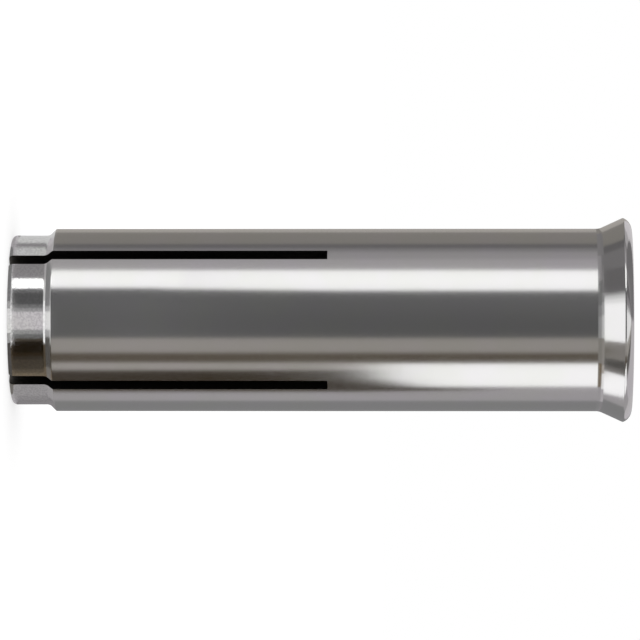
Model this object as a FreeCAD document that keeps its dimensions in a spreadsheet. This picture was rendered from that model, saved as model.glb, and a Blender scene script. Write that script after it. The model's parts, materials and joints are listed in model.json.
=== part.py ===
import FreeCAD, Part
import Sketcher
import os

# Drop-in anchor for an M10 bolt in a 12 mm hole
# The sleeve stands on its tip, with its axis along Z and its threaded mouth at the top.
# Lengths are millimetres and angles are degrees. Heights in the sleeve count from the tip's end face.

driving_sizes = [
    ("sleeve_length", 40.0, "tip face to mouth face"),
    ("body_diameter", 11.8, "long plain cylinder, for a 12 mm hole"),
    ("tip_step", 0.425, "how much the tip's land is turned down all round, to start into the hole"),
    ("tip_length", 2.4, "tip face to the foot of the shoulder"),
    ("shoulder_angle", 45.0, "shoulder's lean from the axis"),
    ("shoulder_root_round", 0.4, "inside corner between tip land and shoulder"),
    ("tip_edge_round", 0.28, "outer edge of the tip face"),
    ("lip_overhang", 0.7, "body to the widest circle of the lip, which stops at the hole's mouth"),
    ("lip_end_height", 0.55, "widest circle of the lip to the mouth face"),
    ("flare_angle", 24.5, "flare's lean from the axis"),
    ("flare_root_round", 0.8, "inside corner between body and flare"),
    ("lip_end_width", 0.77, "widest circle of the lip to the flat mouth face"),
    ("thread_minor_diameter", 8.376, "wall of the threaded hole, M10"),
    ("thread_major_diameter", 10.0, "bottom of the thread's groove"),
    ("thread_length", 15.0, "mouth face to the ledge below the thread"),
    ("thread_pitch", 1.5, "rise of the thread in one turn, right-hand"),
    ("thread_wall_width", 0.86, "wall left between the groove's turns, wider than a real thread's crest"),
    ("thread_root_width", 0.1875, "flat at the bottom of the groove"),
    ("thread_lead", 1.5, "ledge to the middle of the groove where it starts"),
    ("countersink_depth", 0.96, "mouth face to the foot of the countersink"),
    ("countersink_angle", 45.0, "countersink's lean from the axis"),
    ("thread_ledge", 0.188, "step in from the thread to the smooth bore that guides the plug"),
    ("taper_length", 10.0, "height of the narrowing bore"),
    ("tip_bore_diameter", 5.0, "narrow hole through the tip"),
    ("tip_bore_length", 2.0, "tip face to the foot of the taper"),
    ("tip_bore_break", 0.3, "broken edge of the narrow hole at the tip face"),
    ("slot_count", 4, "slots round the sleeve"),
    ("slot_width", 0.78, "saw cut's width"),
    ("slot_length", 20.45, "tip face to the slot's end"),
    ("slot_turn", 45.0, "first slot's turn from the X axis"),
    ("plug_clearance", 0.05, "gap all round between the plug and its bore"),
    ("plug_length", 9.0, "whole expander plug"),
    ("plug_nose_length", 5.0, "plug's tapering end"),
    ("plug_edge_break", 0.35, "broken edges of the plug's end faces"),
    ("plug_setback", 2.5, "ledge below the thread to the plug's top at rest"),
]

# Sizes that follow from the driving ones

body_radius = "(sizes.body_diameter / 2)"
tip_radius = f"({body_radius} - sizes.tip_step)"
lip_radius = f"({body_radius} + sizes.lip_overhang)"
mouth_face_radius = f"({lip_radius} - sizes.lip_end_width)"
thread_minor_radius = "(sizes.thread_minor_diameter / 2)"
countersink_spread = "(sizes.countersink_depth * tan(sizes.countersink_angle))"
countersink_radius = f"({thread_minor_radius} + {countersink_spread})"
plug_bore_radius = f"({thread_minor_radius} - sizes.thread_ledge)"
tip_bore_radius = "(sizes.tip_bore_diameter / 2)"
shoulder_top = "(sizes.tip_length + sizes.tip_step / tan(sizes.shoulder_angle))"
lip_corner_height = "(sizes.sleeve_length - sizes.lip_end_height)"
lip_arc_radius = "((sizes.lip_end_height ^ 2 + sizes.lip_end_width ^ 2) / (2 * sizes.lip_end_height))"
flare_foot = f"({lip_corner_height} - sizes.lip_overhang / tan(sizes.flare_angle))"
countersink_foot = "(sizes.sleeve_length - sizes.countersink_depth)"
thread_foot = "(sizes.sleeve_length - sizes.thread_length)"
thread_major_radius = "(sizes.thread_major_diameter / 2)"
groove_half_width = "((sizes.thread_pitch - sizes.thread_wall_width) / 2)"
groove_root_half_width = "(sizes.thread_root_width / 2)"
groove_depth = f"({thread_major_radius} - {thread_minor_radius})"
groove_flank_slope = f"(({groove_half_width} - {groove_root_half_width}) / {groove_depth})"
groove_start = f"({thread_foot} + sizes.thread_lead)"
taper_top = "(sizes.tip_bore_length + sizes.taper_length)"
taper_slope = f"(({plug_bore_radius} - {tip_bore_radius}) / sizes.taper_length)"
plug_radius = f"({plug_bore_radius} - sizes.plug_clearance)"
plug_nose_radius = f"({plug_radius} - (sizes.plug_nose_length - sizes.plug_edge_break) * {taper_slope})"
plug_foot_height = f"({thread_foot} - sizes.plug_setback - sizes.plug_length)"
plug_seat_height = f"({taper_top} - sizes.plug_clearance / {taper_slope})"
plug_travel = f"({plug_foot_height} + sizes.plug_nose_length - {plug_seat_height})"

doc = FreeCAD.newDocument("drop_in_anchor")


def fill_sheet():
    sheet = doc.addObject("Spreadsheet::Sheet", "sizes")
    for row, (alias, size, note) in enumerate(driving_sizes, start=1):
        sheet.set(f"A{row}", alias)
        sheet.set(f"B{row}", str(size))
        sheet.set(f"C{row}", note)
        sheet.setAlias(f"B{row}", alias)
    doc.recompute()


def add_body(label):
    body = doc.addObject("PartDesign::Body", label)
    body.Label = label
    return body


def origin_part(body, role):
    return next(item for item in body.Origin.OriginFeatures if item.Role == role)


def add_sketch(body, name, plane_role):
    sketch = body.newObject("Sketcher::SketchObject", name)
    sketch.AttachmentSupport = [(origin_part(body, plane_role), "")]
    sketch.MapMode = "FlatFace"
    return sketch


# The sheet reads its own cells by their bare names.
def size_of(expression):
    return float(doc.sizes.evalExpression(expression.replace("sizes.", "")))


# How a sketch numbers the points of a side, and its own axes, which start at its origin
start_point, end_point, centre_point = range(1, 4)
upright_axis, level_axis = range(-2, 0)


# Holds a corner at its distance from the axis (DistanceX) or at its height (DistanceY)
def pin_corner(sketch, direction, number, size, expression):
    if expression == "0":
        axis = upright_axis if direction == "DistanceX" else level_axis
        sketch.addConstraint(Sketcher.Constraint("PointOnObject", number, start_point, axis))
        return
    index = sketch.addConstraint(
        Sketcher.Constraint(direction, level_axis, start_point, number, start_point, size)
    )
    sketch.setExpression(f"Constraints[{index}]", expression)


# An outline is a closed chain of corners, each (distance from the axis, height) as expressions.
# A side is straight unless its first corner is in arcs, which gives the arc's centre height:
# such an arc ends level, straight above its centre.
def add_outline(sketch, corners, arcs=None):
    arcs = arcs or {}
    places = [FreeCAD.Vector(size_of(out), size_of(up), 0) for out, up in corners]
    for number, place in enumerate(places):
        following = places[(number + 1) % len(places)]
        if number in arcs:
            centre = FreeCAD.Vector(following.x, size_of(arcs[number]), 0)
            rim = Part.Circle(centre, FreeCAD.Vector(0, 0, 1), (following - centre).Length)
            side = Part.ArcOfCircle(rim, rim.parameter(place), rim.parameter(following))
        else:
            side = Part.LineSegment(place, following)
        sketch.addGeometry(side, False)
    for number, (out, up) in enumerate(corners):
        before = (number - 1) % len(corners)
        sketch.addConstraint(Sketcher.Constraint("Coincident", before, end_point, number, start_point))
        pin_corner(sketch, "DistanceX", number, places[number].x, out)
        pin_corner(sketch, "DistanceY", number, places[number].y, up)
    for number in arcs:
        following = (number + 1) % len(corners)
        sketch.addConstraint(Sketcher.Constraint("Vertical", number, centre_point, following, start_point))


def turn_about_axis(body, name, sketch):
    turned = body.newObject("PartDesign::Revolution", name)
    turned.Profile = sketch
    turned.ReferenceAxis = (sketch, ["V_Axis"])
    turned.Angle = 360
    doc.recompute()
    return turned


match_distance = 1e-5


# Name of the widest round edge of a turned solid at one height
def widest_edge(feature, height):
    found = []
    for number, edge in enumerate(feature.Shape.Edges, start=1):
        if isinstance(edge.Curve, Part.Circle) and abs(edge.Curve.Center.z - height) < match_distance:
            found.append((edge.Curve.Radius, f"Edge{number}"))
    return max(found)[1]


def round_off(body, name, base, height, radius_alias):
    rounded = body.newObject("PartDesign::Fillet", name)
    rounded.Base = (base, [widest_edge(base, size_of(height))])
    rounded.setExpression("Radius", f"sizes.{radius_alias}")
    doc.recompute()
    return rounded


# The thread is a groove along a helix. It starts above the ledge on the X axis and runs out at the mouth.
# Its cutter reaches in as far as the plug's bore, so that it stands clear of the wall.
def cut_thread(body):
    wall_volume = body.Shape.Volume
    cutter_half_width = f"({groove_half_width} + sizes.thread_ledge * {groove_flank_slope})"
    section = add_sketch(body, "thread_section", "XZ_Plane")
    add_outline(section, [
        (plug_bore_radius, f"({groove_start} - {cutter_half_width})"),
        (thread_major_radius, f"({groove_start} - {groove_root_half_width})"),
        (thread_major_radius, f"({groove_start} + {groove_root_half_width})"),
        (plug_bore_radius, f"({groove_start} + {cutter_half_width})"),
    ])
    thread = body.newObject("PartDesign::SubtractiveHelix", "thread")
    thread.Profile = section
    thread.ReferenceAxis = (section, ["V_Axis"])
    thread.Mode = "pitch-height-angle"
    thread.HasBeenEdited = True
    thread.setExpression("Pitch", "sizes.thread_pitch")
    thread.setExpression("Height", f"sizes.thread_length - sizes.thread_lead + {groove_half_width}")
    body.Tip = thread
    doc.recompute()
    return wall_volume - thread.Shape.Volume


# Sleeve: turned outside and bore, rounded corners, four slots from the tip, and the thread in the mouth

def make_sleeve():
    body = add_body("sleeve")
    section = add_sketch(body, "sleeve_section", "XZ_Plane")
    outline = [
        (f"({tip_bore_radius} + sizes.tip_bore_break)", "0"),
        (tip_radius, "0"),
        (tip_radius, "sizes.tip_length"),
        (body_radius, shoulder_top),
        (body_radius, flare_foot),
        (lip_radius, lip_corner_height),
        (mouth_face_radius, "sizes.sleeve_length"),
        (countersink_radius, "sizes.sleeve_length"),
        (thread_minor_radius, countersink_foot),
        (thread_minor_radius, thread_foot),
        (plug_bore_radius, thread_foot),
        (plug_bore_radius, taper_top),
        (tip_bore_radius, "sizes.tip_bore_length"),
        (tip_bore_radius, "sizes.tip_bore_break"),
    ]
    lip_corner = outline.index((lip_radius, lip_corner_height))
    add_outline(section, outline, {lip_corner: f"(sizes.sleeve_length - {lip_arc_radius})"})
    turned = turn_about_axis(body, "sleeve_turning", section)
    tip_rounded = round_off(body, "tip_edge", turned, "0", "tip_edge_round")
    root_rounded = round_off(body, "shoulder_root", tip_rounded, "sizes.tip_length", "shoulder_root_round")
    flare_rounded = round_off(body, "flare_root", root_rounded, flare_foot, "flare_root_round")
    before_slots = flare_rounded.Shape.Volume

    slot_outline = add_sketch(body, "slot_outline", "XY_Plane")
    slot_outline.setExpression("AttachmentOffset.Rotation.Angle", "sizes.slot_turn")
    add_outline(slot_outline, [
        ("0", "(-sizes.slot_width / 2)"),
        ("sizes.body_diameter", "(-sizes.slot_width / 2)"),
        ("sizes.body_diameter", "(sizes.slot_width / 2)"),
        ("0", "(sizes.slot_width / 2)"),
    ])
    slot = body.newObject("PartDesign::Pocket", "slot")
    slot.Profile = slot_outline
    slot.Reversed = True
    slot.setExpression("Length", "sizes.slot_length")
    doc.recompute()
    one_slot_volume = before_slots - slot.Shape.Volume

    slots = body.newObject("PartDesign::PolarPattern", "slots")
    slots.Originals = [slot]
    slots.Axis = (origin_part(body, "Z_Axis"), [""])
    slots.Angle = 360
    slots.setExpression("Occurrences", "sizes.slot_count")
    body.Tip = slots
    doc.recompute()
    all_slots_volume = before_slots - slots.Shape.Volume
    return body, one_slot_volume, all_slots_volume, cut_thread(body)


# Expander plug: a short cylinder with a nose that has the same taper as the sleeve's bore

def make_expander_plug():
    body = add_body("expander_plug")
    section = add_sketch(body, "plug_section", "XZ_Plane")
    plug_nose_end_radius = f"({plug_nose_radius} - sizes.plug_edge_break)"
    add_outline(section, [
        ("0", "0"),
        (plug_nose_end_radius, "0"),
        (plug_nose_radius, "sizes.plug_edge_break"),
        (plug_radius, "sizes.plug_nose_length"),
        (plug_radius, "(sizes.plug_length - sizes.plug_edge_break)"),
        (f"({plug_radius} - sizes.plug_edge_break)", "sizes.plug_length"),
        ("0", "sizes.plug_length"),
    ])
    turn_about_axis(body, "plug_turning", section)
    body.setExpression("Placement.Base.z", plug_foot_height)
    doc.recompute()
    return body


def check_document(bodies):
    for item in doc.Objects:
        if "Invalid" in item.State or "Error" in item.State:
            raise RuntimeError(f"{item.Name} failed: {item.State}")
        if item.TypeId == "Sketcher::SketchObject" and not item.FullyConstrained:
            raise RuntimeError(f"{item.Name} isn't fully constrained")
    for body in bodies:
        if body.Shape.isNull() or not body.Shape.isValid():
            raise RuntimeError(f"{body.Label} has no valid shape")


fill_sheet()
sleeve, one_slot_volume, all_slots_volume, thread_volume = make_sleeve()
expander_plug = make_expander_plug()
check_document([sleeve, expander_plug])
if one_slot_volume <= 0 or all_slots_volume <= one_slot_volume:
    raise RuntimeError("the slots cut nothing")
if thread_volume <= 0:
    raise RuntimeError("the thread cuts nothing")

os.makedirs("parts", exist_ok=True)
for body in (sleeve, expander_plug):
    body.Shape.exportStep(f"parts/{body.Label}.step")
    print(f"{body.Label}: {body.Shape.Volume:.2f} mm3, {len(body.Shape.Faces)} faces")
print(f"slots cut {all_slots_volume:.2f} mm3, and the thread {thread_volume:.2f} mm3")
print(f"threaded wall {size_of(countersink_foot) - size_of(thread_foot):.3f} mm long")
print(f"plain body from {size_of(shoulder_top):.3f} to {size_of(flare_foot):.3f} mm")
print(f"plug foot at {size_of(plug_foot_height):.3f} mm, free to travel {size_of(plug_travel):.3f} mm")
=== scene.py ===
import json
import math

import bmesh
import bpy
from mathutils import Matrix, Vector


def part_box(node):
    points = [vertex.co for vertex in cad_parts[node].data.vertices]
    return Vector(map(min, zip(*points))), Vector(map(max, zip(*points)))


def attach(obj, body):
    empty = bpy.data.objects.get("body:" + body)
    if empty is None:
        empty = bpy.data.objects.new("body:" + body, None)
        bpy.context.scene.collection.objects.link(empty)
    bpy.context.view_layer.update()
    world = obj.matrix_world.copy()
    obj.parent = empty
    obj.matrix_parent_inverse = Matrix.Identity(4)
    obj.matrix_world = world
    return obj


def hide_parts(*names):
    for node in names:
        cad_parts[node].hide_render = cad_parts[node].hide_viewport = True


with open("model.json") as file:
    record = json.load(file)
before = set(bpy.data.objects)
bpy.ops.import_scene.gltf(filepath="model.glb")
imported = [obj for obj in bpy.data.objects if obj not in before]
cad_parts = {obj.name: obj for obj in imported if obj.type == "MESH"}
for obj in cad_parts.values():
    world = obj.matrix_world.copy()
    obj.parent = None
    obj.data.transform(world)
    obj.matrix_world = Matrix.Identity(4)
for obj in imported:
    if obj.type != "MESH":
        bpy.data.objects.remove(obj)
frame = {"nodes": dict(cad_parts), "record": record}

# Drop-in anchor: a slotted steel sleeve with its thread, and the plug inside it
# It stands on its tip at z = 0, with its axis along Z. Sizes are in millimetres, and mm makes them metres.
mm = 0.001
tiny = 0.001                      # lengths that differ by less than this many millimetres are the same
fullTurn = 2 * math.pi
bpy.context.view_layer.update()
sleeveLow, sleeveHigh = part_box("sleeve")
plugLow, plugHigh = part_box("expander_plug")
mounts = {mount["name"]: mount["dims"] for mount in frame["record"]["mounts"] if mount["dims"]}
print("frame loaded:", sorted(frame["nodes"]))


# Mesh helpers

# Wire of straight runs through corners, each a distance from the axis and a height
def drawOutline(bm, corners):
    verts = [bm.verts.new((radius * mm, 0, height * mm)) for radius, height in corners]
    for first, second in zip(verts, verts[1:]):
        bm.edges.new((first, second))
    return verts


def turnOutline(bm, steps):
    bmesh.ops.spin(
        bm, geom=bm.verts[:] + bm.edges[:], cent=(0, 0, 0), axis=(0, 0, 1),
        angle=fullTurn, steps=steps, use_merge=True,
    )


def edgeRing(bm, radius, height, near=0.004):
    def onRing(vert):
        return (abs(vert.co.xy.length - radius * mm) < near * mm
                and abs(vert.co.z - height * mm) < near * mm)
    return [edge for edge in bm.edges if all(onRing(vert) for vert in edge.verts)]


# Rounds the corner that a ring of edges makes, to a true radius
def roundRing(bm, radius, height, roundRadius, segments):
    ring = edgeRing(bm, radius, height)
    corner = ring[0].calc_face_angle()
    bmesh.ops.bevel(
        bm, geom=ring, offset=roundRadius * mm * math.tan(corner / 2), segments=segments,
        profile=0.5, affect="EDGES", clamp_overlap=True, material=-1,
    )


def finishPiece(name, bm, materials, body, node, sharpAngle=32):
    bmesh.ops.recalc_face_normals(bm, faces=bm.faces[:])
    openEdges = sum(1 for edge in bm.edges if not edge.is_manifold)
    mesh = bpy.data.meshes.new(name)
    bm.to_mesh(mesh)
    bm.free()
    mesh.shade_smooth()
    mesh.set_sharp_from_angle(angle=math.radians(sharpAngle))
    for material in materials:
        mesh.materials.append(material)
    piece = bpy.data.objects.new(name, mesh)
    bpy.context.scene.collection.objects.link(piece)
    weighted = piece.modifiers.new("faceWeighted", "WEIGHTED_NORMAL")
    weighted.mode = "FACE_AREA_WITH_ANGLE"
    weighted.keep_sharp = True
    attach(piece, body)
    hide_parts(node)
    print(f"{name}: {len(mesh.polygons)} faces, {openEdges} open edges")
    return piece


# Shader helpers

# A node's output, on which Python's own signs add Math nodes
class Signal:
    def __init__(self, sheet, output):
        self.sheet, self.output = sheet, output

    def math(self, operation, *values):
        return self.sheet.node("ShaderNodeMath", {"operation": operation}, dict(enumerate(values)))

    def __add__(self, other):
        return self.math("ADD", self, other)

    def __radd__(self, other):
        return self.math("ADD", other, self)

    def __sub__(self, other):
        return self.math("SUBTRACT", self, other)

    def __rsub__(self, other):
        return self.math("SUBTRACT", other, self)

    def __mul__(self, other):
        return self.math("MULTIPLY", self, other)

    def __rmul__(self, other):
        return self.math("MULTIPLY", other, self)


class Sheet:
    def __init__(self, tree):
        self.tree = tree
        tree.nodes.clear()

    # Settings are set first, then each socket gets its value or its link.
    def node(self, kind, settings=None, sockets=None, output=0):
        made = self.tree.nodes.new(kind)
        for name, value in (settings or {}).items():
            setattr(made, name, value)
        for name, value in (sockets or {}).items():
            if isinstance(value, Signal):
                self.tree.links.new(value.output, made.inputs[name])
            else:
                made.inputs[name].default_value = value
        return Signal(self, made.outputs[output]) if made.outputs else None

    # Rises smoothly from 0 at low to 1 at high
    def ramp(self, value, low, high):
        return self.node("ShaderNodeMapRange", {"interpolation_type": "SMOOTHSTEP"}, {
            "Value": value, "From Min": low, "From Max": high,
        })

    def noise(self, place, scale, detail=2.0, roughness=0.5):
        return self.node("ShaderNodeTexNoise", {}, {
            "Vector": place, "Scale": scale, "Detail": detail, "Roughness": roughness,
        })

    def mixColours(self, factor, first, second):
        return self.node("ShaderNodeMix", {"data_type": "RGBA"}, {0: factor, 6: first, 7: second}, output=2)

    def stretch(self, place, factors):
        return self.node("ShaderNodeVectorMath", {"operation": "MULTIPLY"}, {0: place, 1: factors})


# A steel's surface, with its place in millimetres and its height and distance from the axis there
class Steel:
    def __init__(self, name):
        self.material = bpy.data.materials.new(name)
        self.material.use_nodes = True
        self.sheet = Sheet(self.material.node_tree)
        metres = self.sheet.node("ShaderNodeTexCoord", output="Object")
        self.place = self.sheet.stretch(metres, (1 / mm, 1 / mm, 1 / mm))
        self.height = self.sheet.node("ShaderNodeSeparateXYZ", {}, {0: self.place}, output="Z")
        self.radius = self.sheet.node("ShaderNodeVectorMath", {"operation": "LENGTH"}, {
            0: self.sheet.stretch(self.place, (1, 1, 0)),
        }, output="Value")

    def finish(self, colour, roughness, bumpHeight, bumpDepth):
        bump = self.sheet.node("ShaderNodeBump", {}, {
            "Strength": 1.0, "Distance": bumpDepth * mm, "Height": bumpHeight,
        })
        shader = self.sheet.node("ShaderNodeBsdfPrincipled", {}, {
            "Base Color": colour, "Metallic": 1.0, "Roughness": roughness, "Normal": bump,
        })
        self.sheet.node("ShaderNodeOutputMaterial", {}, {"Surface": shader})
        return self.material


# Sleeve: turned outside and bore, four saw cuts from the tip, and a cut thread

sleeve = {
    "bodyRadius": mounts["sleeve_outside"]["r_mm"],
    "lipRadius": sleeveHigh.x / mm,
    "length": sleeveHigh.z / mm,
    "tipStep": 0.425,             # how much the tip's land is turned down
    "tipLength": 2.4,
    "shoulderAngle": 45,          # degrees from the axis
    "flareAngle": 24.5,           # degrees from the axis
    "lipEndHeight": 0.55,         # widest circle of the lip to the mouth face
    "lipEndWidth": 0.77,          # widest circle of the lip to the flat mouth face
    "countersinkDepth": 0.96,     # leans 45 degrees
    "threadLength": 15.0,
    "plugBoreRadius": 4.0,
    "taperTop": 12.0,
    "tipBoreRadius": 2.5,
    "tipBoreLength": 2.0,
    "tipBoreBreak": 0.3,
    "steps": 144,                 # facets round the sleeve
    "lipArcSteps": 12,
}
cornerRounds = {                  # radius and segments
    "tipRim": (0.28, 5),
    "shoulderRoot": (0.4, 6),
    "shoulderEdge": (0.07, 3),
    "flareRoot": (0.8, 6),
    "lipCorner": (0.1, 3),
}
slots = {
    "turns": (45, 135),           # each pair of cuts lies across the axis, in degrees from X
    "width": 0.78,
    "length": 20.45,
    "edgeBreak": 0.03,
    "snap": 0.03,                 # a corner this near to a cut moves onto it
}
thread = {                        # M10, right-hand
    "pitch": 1.5,
    "minorRadius": mounts["thread"]["r_mm"],
    "depth": 0.812,
    "crestFlat": 0.375,
    "rootFlat": 0.1875,
    "steps": 96,                  # facets in one turn
    "flankCuts": 6,
    "footLift": 0.15,             # thread's lowest circle above the bore's ledge
    "mouthDrop": 0.1,             # thread's highest circle below the mouth face
    "lead": 1.5,                  # ledge to the middle of the groove on the X axis
    "turnsBelow": 2,              # turned below that groove, then cut off at the thread's foot
    "fadeFoot": 0.6,              # above the ledge, where the tap's lead starts to cut
    "fadeLength": 1.2,            # over which the tap's lead cuts the full depth
}

tipRadius = sleeve["bodyRadius"] - sleeve["tipStep"]
shoulderTop = sleeve["tipLength"] + sleeve["tipStep"] / math.tan(math.radians(sleeve["shoulderAngle"]))
lipCorner = sleeve["length"] - sleeve["lipEndHeight"]
lipOverhang = sleeve["lipRadius"] - sleeve["bodyRadius"]
flareFoot = lipCorner - lipOverhang / math.tan(math.radians(sleeve["flareAngle"]))
mouthFaceRadius = sleeve["lipRadius"] - sleeve["lipEndWidth"]
countersinkRadius = thread["minorRadius"] + sleeve["countersinkDepth"]
countersinkFoot = sleeve["length"] - sleeve["countersinkDepth"]
threadFoot = sleeve["length"] - sleeve["threadLength"]
outsideFace, sawnFace, boreFace = range(3)


def turnSleeve(bm):
    profile = drawOutline(bm, [
        (thread["minorRadius"], threadFoot),
        (sleeve["plugBoreRadius"], threadFoot),
        (sleeve["plugBoreRadius"], sleeve["taperTop"]),
        (sleeve["tipBoreRadius"], sleeve["tipBoreLength"]),
        (sleeve["tipBoreRadius"], sleeve["tipBoreBreak"]),
        (sleeve["tipBoreRadius"] + sleeve["tipBoreBreak"], 0),
        (tipRadius, 0),
        (tipRadius, sleeve["tipLength"]),
        (sleeve["bodyRadius"], shoulderTop),
        (sleeve["bodyRadius"], flareFoot),
        (sleeve["lipRadius"], lipCorner),
    ])
    # The lip rolls in to the mouth face on an arc that ends level.
    rise, width = sleeve["lipEndHeight"], sleeve["lipEndWidth"]
    arcRadius = (rise ** 2 + width ** 2) / (2 * rise)
    rolled = bmesh.ops.spin(
        bm, geom=[profile[-1]], cent=(mouthFaceRadius * mm, 0, (sleeve["length"] - arcRadius) * mm),
        axis=(0, -1, 0), angle=math.atan2(width, arcRadius - rise), steps=sleeve["lipArcSteps"],
    )
    arcEnd = next(item for item in rolled["geom_last"] if isinstance(item, bmesh.types.BMVert))
    mouthEdge = bm.verts.new((countersinkRadius * mm, 0, sleeve["length"] * mm))
    bm.edges.new((arcEnd, mouthEdge))
    turnOutline(bm, sleeve["steps"])
    roundRing(bm, tipRadius, 0, *cornerRounds["tipRim"])
    roundRing(bm, tipRadius, sleeve["tipLength"], *cornerRounds["shoulderRoot"])
    roundRing(bm, sleeve["bodyRadius"], shoulderTop, *cornerRounds["shoulderEdge"])
    roundRing(bm, sleeve["bodyRadius"], flareFoot, *cornerRounds["flareRoot"])
    roundRing(bm, sleeve["lipRadius"], lipCorner, *cornerRounds["lipCorner"])


def cutSlots(bm):
    half, top = slots["width"] / 2 * mm, slots["length"] * mm
    bmesh.ops.bisect_plane(
        bm, geom=bm.verts[:] + bm.edges[:] + bm.faces[:], dist=tiny * mm,
        plane_co=(0, 0, top), plane_no=(0, 0, 1),
    )
    for turn in slots["turns"]:
        across = Vector((-math.sin(math.radians(turn)), math.cos(math.radians(turn)), 0))
        for side in (-1, 1):
            faces = [face for face in bm.faces if max(vert.co.z for vert in face.verts) < top + tiny * mm]
            edges = dict.fromkeys(edge for face in faces for edge in face.edges)
            verts = dict.fromkeys(vert for face in faces for vert in face.verts)
            bmesh.ops.bisect_plane(
                bm, geom=[*verts, *edges, *faces], dist=slots["snap"] * mm,
                plane_co=across * side * half, plane_no=across, use_snap_center=True,
            )
        inside = [
            face for face in bm.faces
            if abs(face.calc_center_median().dot(across)) < half and face.calc_center_median().z < top
        ]
        bmesh.ops.delete(bm, geom=inside, context="FACES")
    for turn in slots["turns"]:
        along = Vector((math.cos(math.radians(turn)), math.sin(math.radians(turn)), 0))
        for end in (-1, 1):
            closeSlot(bm, along * end, half, top)


# Fills the two walls and the end of one saw cut, which runs out from the axis along outward
def closeSlot(bm, outward, half, top):
    across = Vector((-outward.y, outward.x, 0))
    near = tiny * mm

    def rimEdges(test):
        return [
            edge for edge in bm.edges
            if edge.is_boundary and all(vert.co.dot(outward) > 0 and test(vert.co) for vert in edge.verts)
        ]

    endEdges = rimEdges(lambda co: abs(co.z - top) < near and abs(co.dot(across)) < half + near)
    for side in (-1, 1):
        wallEdges = rimEdges(lambda co: abs(co.dot(across) - side * half) < near and co.z < top + near)
        wallVerts = dict.fromkeys(vert for edge in wallEdges for vert in edge.verts)
        joining = bm.edges.new([vert for vert in wallVerts if abs(vert.co.z - top) < near])
        bmesh.ops.contextual_create(bm, geom=wallEdges + [joining], mat_nr=sawnFace)
        endEdges.append(joining)
    bmesh.ops.contextual_create(bm, geom=endEdges, mat_nr=sawnFace)


# One turn of the thread's wall, from start upwards
def turnThread(ridge, start):
    pitch, minor, major = thread["pitch"], thread["minorRadius"], thread["minorRadius"] + thread["depth"]
    flank = (pitch - thread["crestFlat"] - thread["rootFlat"]) / 2
    rises = [thread["crestFlat"] / 2, flank, thread["rootFlat"], flank, thread["crestFlat"] / 2]
    heights = [start + sum(rises[:count]) for count in range(len(rises) + 1)]
    drawOutline(ridge, list(zip((minor, minor, major, major, minor, minor), heights)))
    flanks = [edge for edge in ridge.edges if edge.calc_length() > flank * mm]
    bmesh.ops.subdivide_edges(ridge, edges=flanks, cuts=thread["flankCuts"])
    bmesh.ops.spin(
        ridge, geom=ridge.verts[:] + ridge.edges[:], cent=(0, 0, 0), axis=(0, 0, 1),
        dvec=(0, 0, pitch * mm / thread["steps"]), angle=fullTurn, steps=thread["steps"],
    )


def cutThread(bm):
    pitch, minor = thread["pitch"], thread["minorRadius"]
    foot = threadFoot + thread["footLift"]
    mouth = sleeve["length"] - thread["mouthDrop"]
    start = threadFoot + thread["lead"] - pitch * (thread["turnsBelow"] + 0.5)
    turns = math.ceil((mouth - start) / pitch)
    ridge = bmesh.new()
    turnThread(ridge, start)
    oneTurn = ridge.verts[:] + ridge.edges[:] + ridge.faces[:]
    for number in range(1, turns):
        copied = bmesh.ops.duplicate(ridge, geom=oneTurn)["geom"]
        verts = [item for item in copied if isinstance(item, bmesh.types.BMVert)]
        bmesh.ops.translate(ridge, vec=(0, 0, number * pitch * mm), verts=verts)
    bmesh.ops.remove_doubles(ridge, verts=ridge.verts[:], dist=2 * tiny * mm)

    # The countersink opens the last turns, and the tap's lead leaves the first ones shallow.
    for vert in ridge.verts:
        radius = vert.co.xy.length
        height = vert.co.z / mm
        cone = minor + max(0, height - countersinkFoot)
        lead = max(0, height - threadFoot - thread["fadeFoot"]) / thread["fadeLength"]
        wanted = max(min(radius / mm, minor + thread["depth"] * lead), cone) * mm
        vert.co.x *= wanted / radius
        vert.co.y *= wanted / radius
    for height, normal in ((foot, -1), (mouth, 1)):
        bmesh.ops.bisect_plane(
            ridge, geom=ridge.verts[:] + ridge.edges[:] + ridge.faces[:], dist=tiny / 2 * mm,
            plane_co=(0, 0, height * mm), plane_no=(0, 0, normal), clear_outer=True,
        )
    for face in ridge.faces:
        face.material_index = boreFace
    turned = bpy.data.meshes.new("threadRidge")
    ridge.to_mesh(turned)
    ridge.free()
    bm.from_mesh(turned)
    bpy.data.meshes.remove(turned)

    def openRing(height):
        return [
            edge for edge in bm.edges
            if edge.is_boundary and all(abs(vert.co.z - height * mm) < tiny * mm for vert in edge.verts)
        ]

    for lower, upper in ((threadFoot, foot), (mouth, sleeve["length"])):
        joined = bmesh.ops.bridge_loops(bm, edges=openRing(lower) + openRing(upper))
        for face in joined["faces"]:
            face.material_index = boreFace


def markBore(bm):
    for face in bm.faces:
        centre = face.calc_center_median()
        inBore = centre.xy.length < (countersinkRadius + 10 * tiny) * mm and centre.z > 10 * tiny * mm
        if inBore and face.material_index == outsideFace:
            face.material_index = boreFace


# Breaks the sharp outer edges of the saw cuts
def breakSlotEdges(bm):
    def isOuterEdge(edge):
        kinds = {face.material_index for face in edge.link_faces}
        return kinds == {outsideFace, sawnFace}

    bmesh.ops.bevel(
        bm, geom=[edge for edge in bm.edges if isOuterEdge(edge)], offset=slots["edgeBreak"] * mm,
        segments=2, profile=0.5, affect="EDGES", clamp_overlap=True, material=outsideFace,
    )


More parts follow.
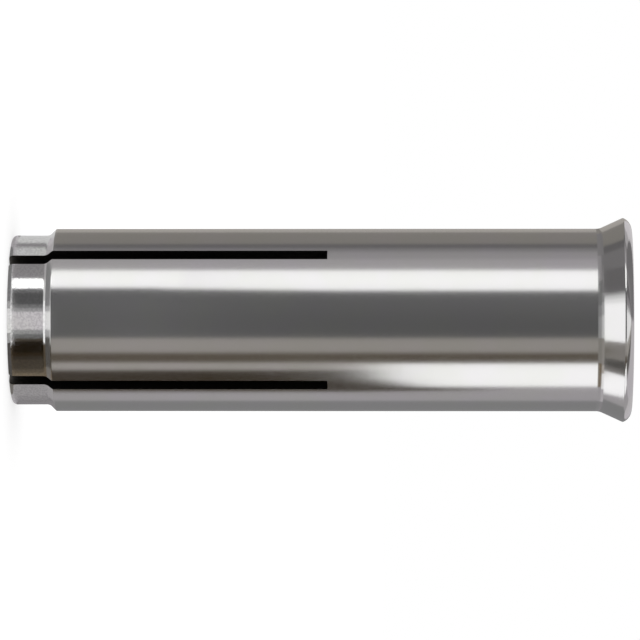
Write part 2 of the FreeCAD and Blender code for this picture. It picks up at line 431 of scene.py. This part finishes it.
# Noise scales are cells to a millimetre. Bump depths are millimetres.
platedSteel = {
    "colours": ((0.80, 0.79, 0.795, 1), (0.79, 0.79, 0.77, 1)),
    "cloudScale": 0.35,
    "cloudRange": (0.35, 0.65),
    "grainScale": 9.0,
    "speckScale": 7.0,
    "speckRange": (0.4, 0.6),
    "speckColour": (0.50, 0.50, 0.50, 1),
    "speckShade": 0.33,           # how far a speck goes to its colour
    "turningScale": (0.15, 0.15, 14.0),
    "roughness": 0.175,
    "tipSmoother": 0.065,         # how much less rough the tip's land is
    "tipFade": 0.25,              # starts to end this far below the shoulder
    "flareSmoother": 0.05,
    "flareFade": 0.5,             # is whole this far above the flare's foot
    "grainRoughness": 0.05,
    "cloudRoughness": 0.03,
    "speckRoughness": 0.05,
    "grainBump": 0.6,
    "turningBump": 0.25,
    "speckBump": 0.3,
    "bumpDepth": 0.0015,
}
# Saw cuts' walls: painted shade, near-black colours that stand in for the dark inside of the cuts, mottled
# at random between two dark tones
sawnSteel = {
    "colours": ((0.03, 0.03, 0.025, 1), (0.09, 0.085, 0.075, 1)),
    "sootScale": 1.5,
    "sootRange": (0.3, 0.7),
    "markScale": (1.0, 1.0, 18.0),
    "roughness": 0.4,
    "markRoughness": 0.2,
    "bumpDepth": 0.01,
}
# Bore: painted shade, dark colours deep in the bore that give way to lighter ones towards the mouth
boreSteel = {
    "darkColours": ((0.10, 0.095, 0.085, 1), (0.16, 0.15, 0.14, 1)),
    "brightColours": ((0.52, 0.51, 0.49, 1), (0.60, 0.59, 0.57, 1)),
    "brightFoot": 1.0,            # painted shade: the bore is painted darker deep inside and grows brighter from this far below the thread
    "grainScale": 6.0,
    "roughness": 0.27,
    "grainRoughness": 0.15,
    "bumpDepth": 0.003,
}


def paintPlatedSteel():
    look = platedSteel
    steel = Steel("platedSteel")
    sheet, place = steel.sheet, steel.place
    grain = sheet.noise(place, look["grainScale"], detail=3.0, roughness=0.6) - 0.5
    cloud = sheet.noise(place, look["cloudScale"])
    turning = sheet.noise(sheet.stretch(place, look["turningScale"]), 1.0)
    onTip = 1 - sheet.ramp(steel.height, sleeve["tipLength"] - look["tipFade"], shoulderTop)
    onFlare = sheet.ramp(steel.height, flareFoot, flareFoot + look["flareFade"])
    speck = onTip * sheet.ramp(sheet.noise(place, look["speckScale"], detail=1.0), *look["speckRange"])
    colour = sheet.mixColours(sheet.ramp(cloud, *look["cloudRange"]), *look["colours"])
    colour = sheet.mixColours(speck * look["speckShade"], colour, look["speckColour"])
    roughness = look["roughness"] - onTip * look["tipSmoother"] - onFlare * look["flareSmoother"]
    roughness = roughness + grain * look["grainRoughness"] + (cloud - 0.5) * look["cloudRoughness"]
    roughness = roughness + speck * look["speckRoughness"]
    bumpHeight = grain * look["grainBump"] + turning * look["turningBump"] + speck * look["speckBump"]
    return steel.finish(colour, roughness, bumpHeight, look["bumpDepth"])


def paintShadedSawnSteel():
    look = sawnSteel
    steel = Steel("sawnSteel")
    sheet, place = steel.sheet, steel.place
    marks = sheet.noise(sheet.stretch(place, look["markScale"]), 1.0)
    # Painted shade of the saw cuts' walls, mottled at random between its two dark colours
    shadeMottle = sheet.noise(place, look["sootScale"], detail=3.0)
    colour = sheet.mixColours(sheet.ramp(shadeMottle, *look["sootRange"]), *look["colours"])
    return steel.finish(colour, marks * look["markRoughness"] + look["roughness"], marks, look["bumpDepth"])


def paintBoreSteel():
    look = boreSteel
    steel = Steel("boreSteel")
    sheet = steel.sheet
    grain = sheet.noise(steel.place, look["grainScale"], detail=3.0)
    # Painted shade: dark deep in the bore, lighter towards the mouth
    inMouth = sheet.ramp(steel.height, threadFoot - look["brightFoot"], countersinkFoot)
    paintedShade = sheet.mixColours(grain, *look["darkColours"])
    bright = sheet.mixColours(grain, *look["brightColours"])
    colour = sheet.mixColours(inMouth, paintedShade, bright)
    return steel.finish(colour, grain * look["grainRoughness"] + look["roughness"], grain, look["bumpDepth"])


def makeSleeve():
    bm = bmesh.new()
    turnSleeve(bm)
    cutSlots(bm)
    cutThread(bm)
    markBore(bm)
    bmesh.ops.recalc_face_normals(bm, faces=bm.faces[:])
    breakSlotEdges(bm)
    materials = [paintPlatedSteel(), paintShadedSawnSteel(), paintBoreSteel()]
    return finishPiece("dressed_sleeve", bm, materials, "sleeve_body", "sleeve")


# Plug: a short cylinder with a tapered nose, dimpled on top where the punch strikes it

plug = {
    "noseLength": 5.0,
    "edgeBreak": 0.35,
    "taperSlope": 0.15,           # matches the sleeve's narrowing bore
    "dimpleRadius": 1.1,
    "dimpleDepth": 0.35,
    "rimRound": (0.12, 3),        # radius and segments
    "steps": 96,
}


def makePlug():
    radius, foot, top = plugHigh.x / mm, plugLow.z / mm, plugHigh.z / mm
    noseRadius = radius - (plug["noseLength"] - plug["edgeBreak"]) * plug["taperSlope"]
    bm = bmesh.new()
    drawOutline(bm, [
        (0, foot),
        (noseRadius - plug["edgeBreak"], foot),
        (noseRadius, foot + plug["edgeBreak"]),
        (radius, foot + plug["noseLength"]),
        (radius, top - plug["edgeBreak"]),
        (radius - plug["edgeBreak"], top),
        (plug["dimpleRadius"], top),
        (0, top - plug["dimpleDepth"]),
    ])
    turnOutline(bm, plug["steps"])
    bmesh.ops.remove_doubles(bm, verts=bm.verts[:], dist=tiny * mm)
    roundRing(bm, radius, top - plug["edgeBreak"], *plug["rimRound"])
    roundRing(bm, radius - plug["edgeBreak"], top, *plug["rimRound"])
    return finishPiece("dressed_plug", bm, [paintPlugSteel()], "plug_body", "expander_plug")


plugSteel = {
    "colours": ((0.50, 0.49, 0.47, 1), (0.60, 0.59, 0.57, 1)),
    "grainScale": 5.0,
    "ringScale": 9.0,
    "roughness": 0.26,
    "grainRoughness": 0.12,
    "ringBump": 0.7,
    "grainBump": 0.3,
    "bumpDepth": 0.004,
}


def paintPlugSteel():
    look = plugSteel
    steel = Steel("plugSteel")
    sheet = steel.sheet
    profile = sheet.node("ShaderNodeCombineXYZ", {}, {"X": steel.radius, "Z": steel.height})
    rings = sheet.noise(profile, look["ringScale"])
    grain = sheet.noise(steel.place, look["grainScale"], detail=3.0)
    colour = sheet.mixColours(grain, *look["colours"])
    roughness = grain * look["grainRoughness"] + look["roughness"]
    bumpHeight = rings * look["ringBump"] + grain * look["grainBump"]
    return steel.finish(colour, roughness, bumpHeight, look["bumpDepth"])


# Studio: white floor and surroundings, soft lamps, and cards that the steel reflects

view = {
    "distance": 337.0,            # camera to the sleeve's axis
    "height": 28.0,
    "aimHeight": 19.88,
    "frameWidth": 41.43,          # what the picture spans at the axis
    "sensor": 36.0,
    "nearest": 10.0,              # nearer things aren't drawn
}
studio = {
    "floorSize": 4000.0,
    "floorColour": (0.92, 0.92, 0.92, 1),
    "shownWhite": 0.55,           # how much of the floor is plain white to the eye, the rest shows shadow
    "roomLight": 1.12,            # light from all round, which falls on the object and isn't seen
    "wallRadius": 55.0,
    "wallHeight": 80.0,           # the ceiling lies on it
    "fenceRadii": (8.6, 29.0),    # floor cards run out from the first, and fences stand on the second
    "lowFenceRadii": (8.7, 28.5),
    "tipFenceRadius": 8.5,        # the tip's own cards stand on it, and the shoulder's lie inside it
    "shoulderRadii": (5.0, 6.4),  # foot of the tip, and where the shoulder's root starts to mirror
    "floorLift": 0.02,
    "lowFloorLift": 0.04,
    "ceilingHole": 0.1,           # radius
    "lowWallRadius": 54.0,        # the low cards and the flare's cards stand in front of the wall
    "raisedRadii": (37.0, 54.0),
    "upperFoot": 50.0,            # above it, only the lip mirrors the wall
    "collarRadius": 6.2,          # close to the flare's root, so that nothing else mirrors it
    "cardStep": 4.0,              # degrees in one facet of a curved card
}
white = (1.0, 1.0, 1.0)
cool = (1.0, 1.0, 1.01)
warm = (1.06, 1.0, 0.94)
mauve = (1.025, 0.985, 1.02)
brown = (1.28, 1.0, 0.68)
darkBrown = (1.7, 1.0, 0.3)

# Each card runs from one direction to another, in degrees round the axis from the camera's side towards +X,
# as the steel mirrors them there. Light and tint follow.
bodyCards = [
    (-180, -147, 0.38, warm),
    (-147, -112, 0.22, warm),
    (-112, -103, 0.125, mauve),
    (-103, -96, 0.22, mauve),
    (-96, -83, 0.30, mauve),
    (-83, -65.6, 0.37, mauve),
    (-65.6, -37.2, 1.14, white),
    (-37.2, 22.6, 0.10, cool),
    (22.6, 42, 0.30, warm),
    (42, 56.4, 0.06, brown),
    (56.4, 93, 1.12, white),
    (93, 124, 0.36, mauve),
    (124, 180, 0.23, cool),
]
fences = [                        # hide the wall's foot from the body: from this direction on, this height
    (-180, 15.5), (-66, 9.0), (37, 15.5), (78, 20.0),
]
lowCards = [                      # stand in front of the wall's foot
    (-40.8, -37.2, 0.10, cool),
    (55, 66.3, 0.34, warm),
    (66.3, 78, 0.014, darkBrown),
    (78, 95, 0.014, darkBrown),
    (95, 99, 0.03, brown),
    (99, 103.5, 0.05, brown),
]
lowEdges = [                      # their top edge: direction and height
    (-40.8, 2.5), (-37.2, 20.2), (55, 22.9), (77, 22.9), (95, 26.2), (99, 33.0), (103.5, 21.0),
]
tipCards = [
    (-180, -132, 0.66, white),
    (-132, -128, 0.45, white),
    (-128, -120, 0.27, mauve),
    (-120, -115, 0.45, white),
    (-115, -86, 0.60, white),
    (-86, -58.2, 0.26, mauve),
    (-58.2, -43.5, 1.75, white),
    (-43.5, -37, 0.14, cool),
    (-37, -21, 0.083, cool),
    (-21, -16, 0.18, cool),
    (-16, -11, 0.34, cool),
    (-11, 13, 0.62, mauve),
    (13, 19, 0.32, cool),
    (19, 25, 0.16, cool),
    (25, 29, 0.045, brown),
    (29, 45, 0.006, darkBrown),
    (45, 50, 0.014, darkBrown),
    (50, 55, 0.026, brown),
    (55, 71, 0.042, brown),
    (71, 77, 0.075, brown),
    (77, 92, 0.14, brown),
    (92, 126, 0.355, mauve),
    (126, 140, 0.30, mauve),
    (140, 180, 0.26, mauve),
]
shoulderCards = [
    (-180, -100, 0.35, mauve),
    (-100, -62, 0.40, mauve),
    (-62, -13, 0.23, cool),
    (-13, -8, 0.45, white),
    (-8, 9, 0.85, white),
    (9, 16, 0.42, white),
    (16, 48, 0.09, warm),
    (48, 64, 0.19, warm),
    (64, 110, 0.45, mauve),
    (110, 180, 0.29, mauve),
]
rootCards = [
    (-180, -131, 0.62, warm),
    (-131, -117, 0.20, mauve),
    (-117, -96, 0.55, mauve),
    (-96, -62, 0.45, mauve),
    (-62, -40, 0.45, mauve),
    (-40, -18, 0.72, white),
    (-18, 22, 1.10, white),
    (22, 48, 0.07, brown),
    (48, 64, 0.13, brown),
    (64, 105, 0.37, mauve),
    (105, 180, 0.23, mauve),
]
flareFloorCards = [
    (-140, -37.5, 0.13, mauve),
    (-37.5, -33, 0.33, white),
    (-33, -28, 0.66, white),
    (-28, -22, 0.88, white),
    (-22, 28.5, 1.10, white),
    (28.5, 52.5, 0.225, warm),
    (52.5, 63.5, 0.07, warm),
    (63.5, 72, 0.17, warm),
]
raisedCards = {                   # by height, behind the fence, where only the flare mirrors them
    13.0: [
        (-140, -100, 0.13, mauve),
        (-100, -72, 0.18, mauve),
        (41, 57, 0.21, warm),
        (57, 68, 0.07, warm),
        (68, 75.3, 0.16, warm),
        (75.3, 116, 1.14, white),
    ],
    7.0: [(-72, -38.5, 0.13, mauve)],
}
collarCards = {                   # by foot and top: they end the body's bands in the flare's root
    (37.73, 37.82): [
        (-180, -140, 0.24, warm),
        (-140, -88, 0.21, mauve),
        (-88, -50, 0.27, mauve),
        (-50, -18, 0.17, cool),
        (-18, -4, 0.24, cool),
        (-4, 22.6, 0.31, cool),
        (22.6, 56, 0.22, warm),
        (56, 93, 0.13, brown),
        (93, 124, 0.35, mauve),
        (124, 180, 0.25, cool),
    ],
    (37.82, 37.885): [
        (-180, -140, 0.22, warm),
        (-140, -88, 0.20, mauve),
        (-88, -34, 0.17, mauve),
        (-34, -22, 0.30, white),
        (-22, -6, 0.47, white),
        (-6, 22.6, 0.68, white),
        (22.6, 58, 0.27, warm),
        (58, 70, 0.45, warm),
        (70, 96, 1.00, white),
        (96, 124, 0.46, mauve),
        (124, 180, 0.27, mauve),
    ],
}
ceilingCards = [
    (-180, -70, 0.17, mauve),
    (-70, -52, 0.21, mauve),
    (-52, -33, 0.13, mauve),
    (-33, -19, 0.25, mauve),
    (-19, -12, 0.50, white),
    (-12, 29, 0.85, white),
    (29, 50, 0.32, warm),
    (50, 74, 0.11, warm),
    (74, 82, 0.32, mauve),
    (82, 180, 0.50, mauve),
]
upperCards = [
    (-180, -128, 0.62, mauve), (-128, -100, 0.42, mauve), (100, 128, 0.36, mauve), (128, 180, 0.52, mauve),
]


def cardMaterial(name, light, tint):
    material = bpy.data.materials.new(name)
    material.use_nodes = True
    sheet = Sheet(material.node_tree)
    glow = sheet.node("ShaderNodeEmission", {}, {
        "Color": (*[light * channel for channel in tint], 1), "Strength": 1.0,
    })
    sheet.node("ShaderNodeOutputMaterial", {}, {"Surface": glow})
    return material


# A curved card: a wire of corners swept round the axis. Only reflections see it.
# With a mirror radius, the card is twisted to where rays from steel of that radius end, as those don't start
# at the axis. Without one, it lies at its plain direction.
def makeCard(name, corners, card, mirrorRadius=0.0, topEdge=None):
    start, end, light, tint = card
    bm = bmesh.new()
    verts = drawOutline(bm, corners)
    turned = Matrix.Rotation(math.radians(start), 3, "Z")
    bmesh.ops.rotate(bm, verts=verts, cent=(0, 0, 0), matrix=turned)
    bmesh.ops.spin(
        bm, geom=bm.verts[:] + bm.edges[:], cent=(0, 0, 0), axis=(0, 0, 1),
        angle=math.radians(end - start), steps=max(1, round((end - start) / studio["cardStep"])),
    )
    for vert in bm.verts:
        direction = math.atan2(vert.co.y, vert.co.x)
        if topEdge and vert.co.z > 0:
            vert.co.z = topEdge(math.degrees(direction)) * mm
        twist = math.asin(mirrorRadius * mm * math.sin(direction / 2) / vert.co.xy.length)
        vert.co.xy = Matrix.Rotation(-math.pi / 2 - twist, 2) @ vert.co.xy
    mesh = bpy.data.meshes.new(name)
    bm.to_mesh(mesh)
    bm.free()
    mesh.materials.append(cardMaterial(name, light, tint))
    made = bpy.data.objects.new(name, mesh)
    bpy.context.scene.collection.objects.link(made)
    made.visible_camera = made.visible_diffuse = made.visible_shadow = False
    made.visible_transmission = made.visible_volume_scatter = False


# Height of the low cards' edge at a direction, along straight runs between the points of lowEdges
def lowEdge(direction):
    for (start, low), (end, high) in zip(lowEdges, lowEdges[1:]):
        if direction <= end:
            return low + (high - low) * (direction - start) / (end - start)
    return high


def fenceHeight(card):
    return [height for direction, height in fences if direction <= card[0]][-1]


# A floor card and the fence on its far edge
def fenceCorners(card, radii, lift):
    foot, fence = radii
    return [(foot, lift), (fence, lift), (fence, fenceHeight(card))]


def makeCardRing(name, corners, cards, mirrorRadius=0.0):
    for number, card in enumerate(cards):
        makeCard(f"{name}{number}", corners, card, mirrorRadius)


def makeCards():
    wall, height, fence = studio["wallRadius"], studio["wallHeight"], studio["fenceRadii"][1]
    low, tip, lift = studio["lowWallRadius"], studio["tipFenceRadius"], studio["floorLift"]
    foot, root = studio["shoulderRadii"]
    bodyRadius = sleeve["bodyRadius"]
    for number, card in enumerate(bodyCards):
        makeCard(f"bodyCard{number}", [(wall, 0), (wall, height)], card, bodyRadius)
        makeCard(f"fenceCard{number}", fenceCorners(card, studio["fenceRadii"], lift), card, bodyRadius)
    for number, card in enumerate(lowCards):
        corners = fenceCorners(card, studio["lowFenceRadii"], studio["lowFloorLift"])
        makeCard(f"lowCard{number}", [(low, 0), (low, 1)], card, bodyRadius, lowEdge)
        makeCard(f"lowFence{number}", corners, card, bodyRadius)
    makeCardRing("tipCard", [(tip, lift), (tip, sleeve["tipLength"])], tipCards, tipRadius)
    makeCardRing("shoulderCard", [(foot, lift), (root, lift)], shoulderCards)
    makeCardRing("rootCard", [(root, lift), (tip, lift)], rootCards)
    makeCardRing("flareFloor", [(fence, lift), (wall, lift)], flareFloorCards)
    for raised, cards in raisedCards.items():
        corners = [(radius, raised) for radius in studio["raisedRadii"]]
        makeCardRing(f"raised{raised:.0f}Card", corners, cards, bodyRadius)
    for edges, cards in collarCards.items():
        corners = [(studio["collarRadius"], edge) for edge in edges]
        makeCardRing(f"collar{edges[0]:.2f}Card", corners, cards, bodyRadius)
    makeCardRing("upperCard", [(low, studio["upperFoot"]), (low, height)], upperCards)
    makeCardRing("ceiling", [(studio["ceilingHole"], height), (wall, height)], ceilingCards)


def seenAsWhite(sheet):
    outputs = sheet.node("ShaderNodeLightPath").output.node.outputs
    camera, glossy, transmission = (
        Signal(sheet, outputs[f"Is {kind} Ray"]) for kind in ("Camera", "Glossy", "Transmission")
    )
    return camera.math("MAXIMUM", camera.math("MAXIMUM", camera, glossy), transmission)


def makeFloor():
    bm = bmesh.new()
    bmesh.ops.create_grid(bm, x_segments=1, y_segments=1, size=studio["floorSize"] / 2 * mm)
    mesh = bpy.data.meshes.new("floor")
    bm.to_mesh(mesh)
    bm.free()
    material = bpy.data.materials.new("paleFloor")
    material.use_nodes = True
    sheet = Sheet(material.node_tree)
    paper = sheet.node("ShaderNodeBsdfDiffuse", {}, {"Color": studio["floorColour"]})
    plain = sheet.node("ShaderNodeEmission", {}, {"Color": (1, 1, 1, 1), "Strength": 1.0})
    shown = sheet.node("ShaderNodeMixShader", {}, {
        0: seenAsWhite(sheet) * studio["shownWhite"], 1: paper, 2: plain,
    })
    sheet.node("ShaderNodeOutputMaterial", {}, {"Surface": shown})
    mesh.materials.append(material)
    floor = bpy.data.objects.new("floor", mesh)
    bpy.context.scene.collection.objects.link(floor)


def makeWorld():
    world = bpy.data.worlds.new("whiteStudio")
    bpy.context.scene.world = world
    world.use_nodes = True
    sheet = Sheet(world.node_tree)
    room = sheet.node("ShaderNodeBackground", {}, {"Color": (1, 1, 1, 1), "Strength": studio["roomLight"]})
    plain = sheet.node("ShaderNodeBackground", {}, {"Color": (1, 1, 1, 1), "Strength": 1.0})
    shown = sheet.node("ShaderNodeMixShader", {}, {0: seenAsWhite(sheet), 1: room, 2: plain})
    sheet.node("ShaderNodeOutputWorld", {}, {"Surface": shown})


lamps = {                         # place, size and brightness of each square soft lamp
    "overheadLamp": ((-50, 20, 420), 300, 1.2),
    "frontLamp": ((-160, -360, 200), 220, 1.2),
}


# A lamp looks at the middle of the sleeve
def makeLamp(name, place, size, brightness):
    data = bpy.data.lights.new(name, "AREA")
    data.shape = "SQUARE"
    data.size = size * mm
    data.energy = brightness * math.pi * data.size ** 2     # so that its face has this brightness
    lamp = bpy.data.objects.new(name, data)
    bpy.context.scene.collection.objects.link(lamp)
    middle = Vector((0, 0, sleeve["length"] / 2))
    lamp.location = Vector(place) * mm
    lamp.rotation_mode = "QUATERNION"
    lamp.rotation_quaternion = (middle - Vector(place)).to_track_quat("-Z", "Y")


# The picture shows the sleeve lying level, mouth to the right, so the camera is rolled onto its side.
def makeCamera():
    data = bpy.data.cameras.new("camera")
    data.sensor_width = view["sensor"]
    data.lens = view["sensor"] * view["distance"] / view["frameWidth"]
    data.clip_start = view["nearest"] * mm
    camera = bpy.data.objects.new("camera", data)
    bpy.context.scene.collection.objects.link(camera)
    eye = Vector((0, -view["distance"], view["height"])) * mm
    aim = Vector((0, 0, view["aimHeight"])) * mm
    back = (eye - aim).normalized()
    right = (Vector((0, 0, 1)) - back * back.z).normalized()
    up = back.cross(right)
    turn = Matrix((right, up, back)).transposed().to_4x4()
    camera.matrix_world = Matrix.Translation(eye) @ turn
    bpy.context.scene.camera = camera


makeCamera()
makeWorld()
makeFloor()
makeCards()
for name, (place, size, brightness) in lamps.items():
    makeLamp(name, place, size, brightness)
bpy.context.scene.view_settings.view_transform = "Standard"
print("studio ready")
makeSleeve()
makePlug()
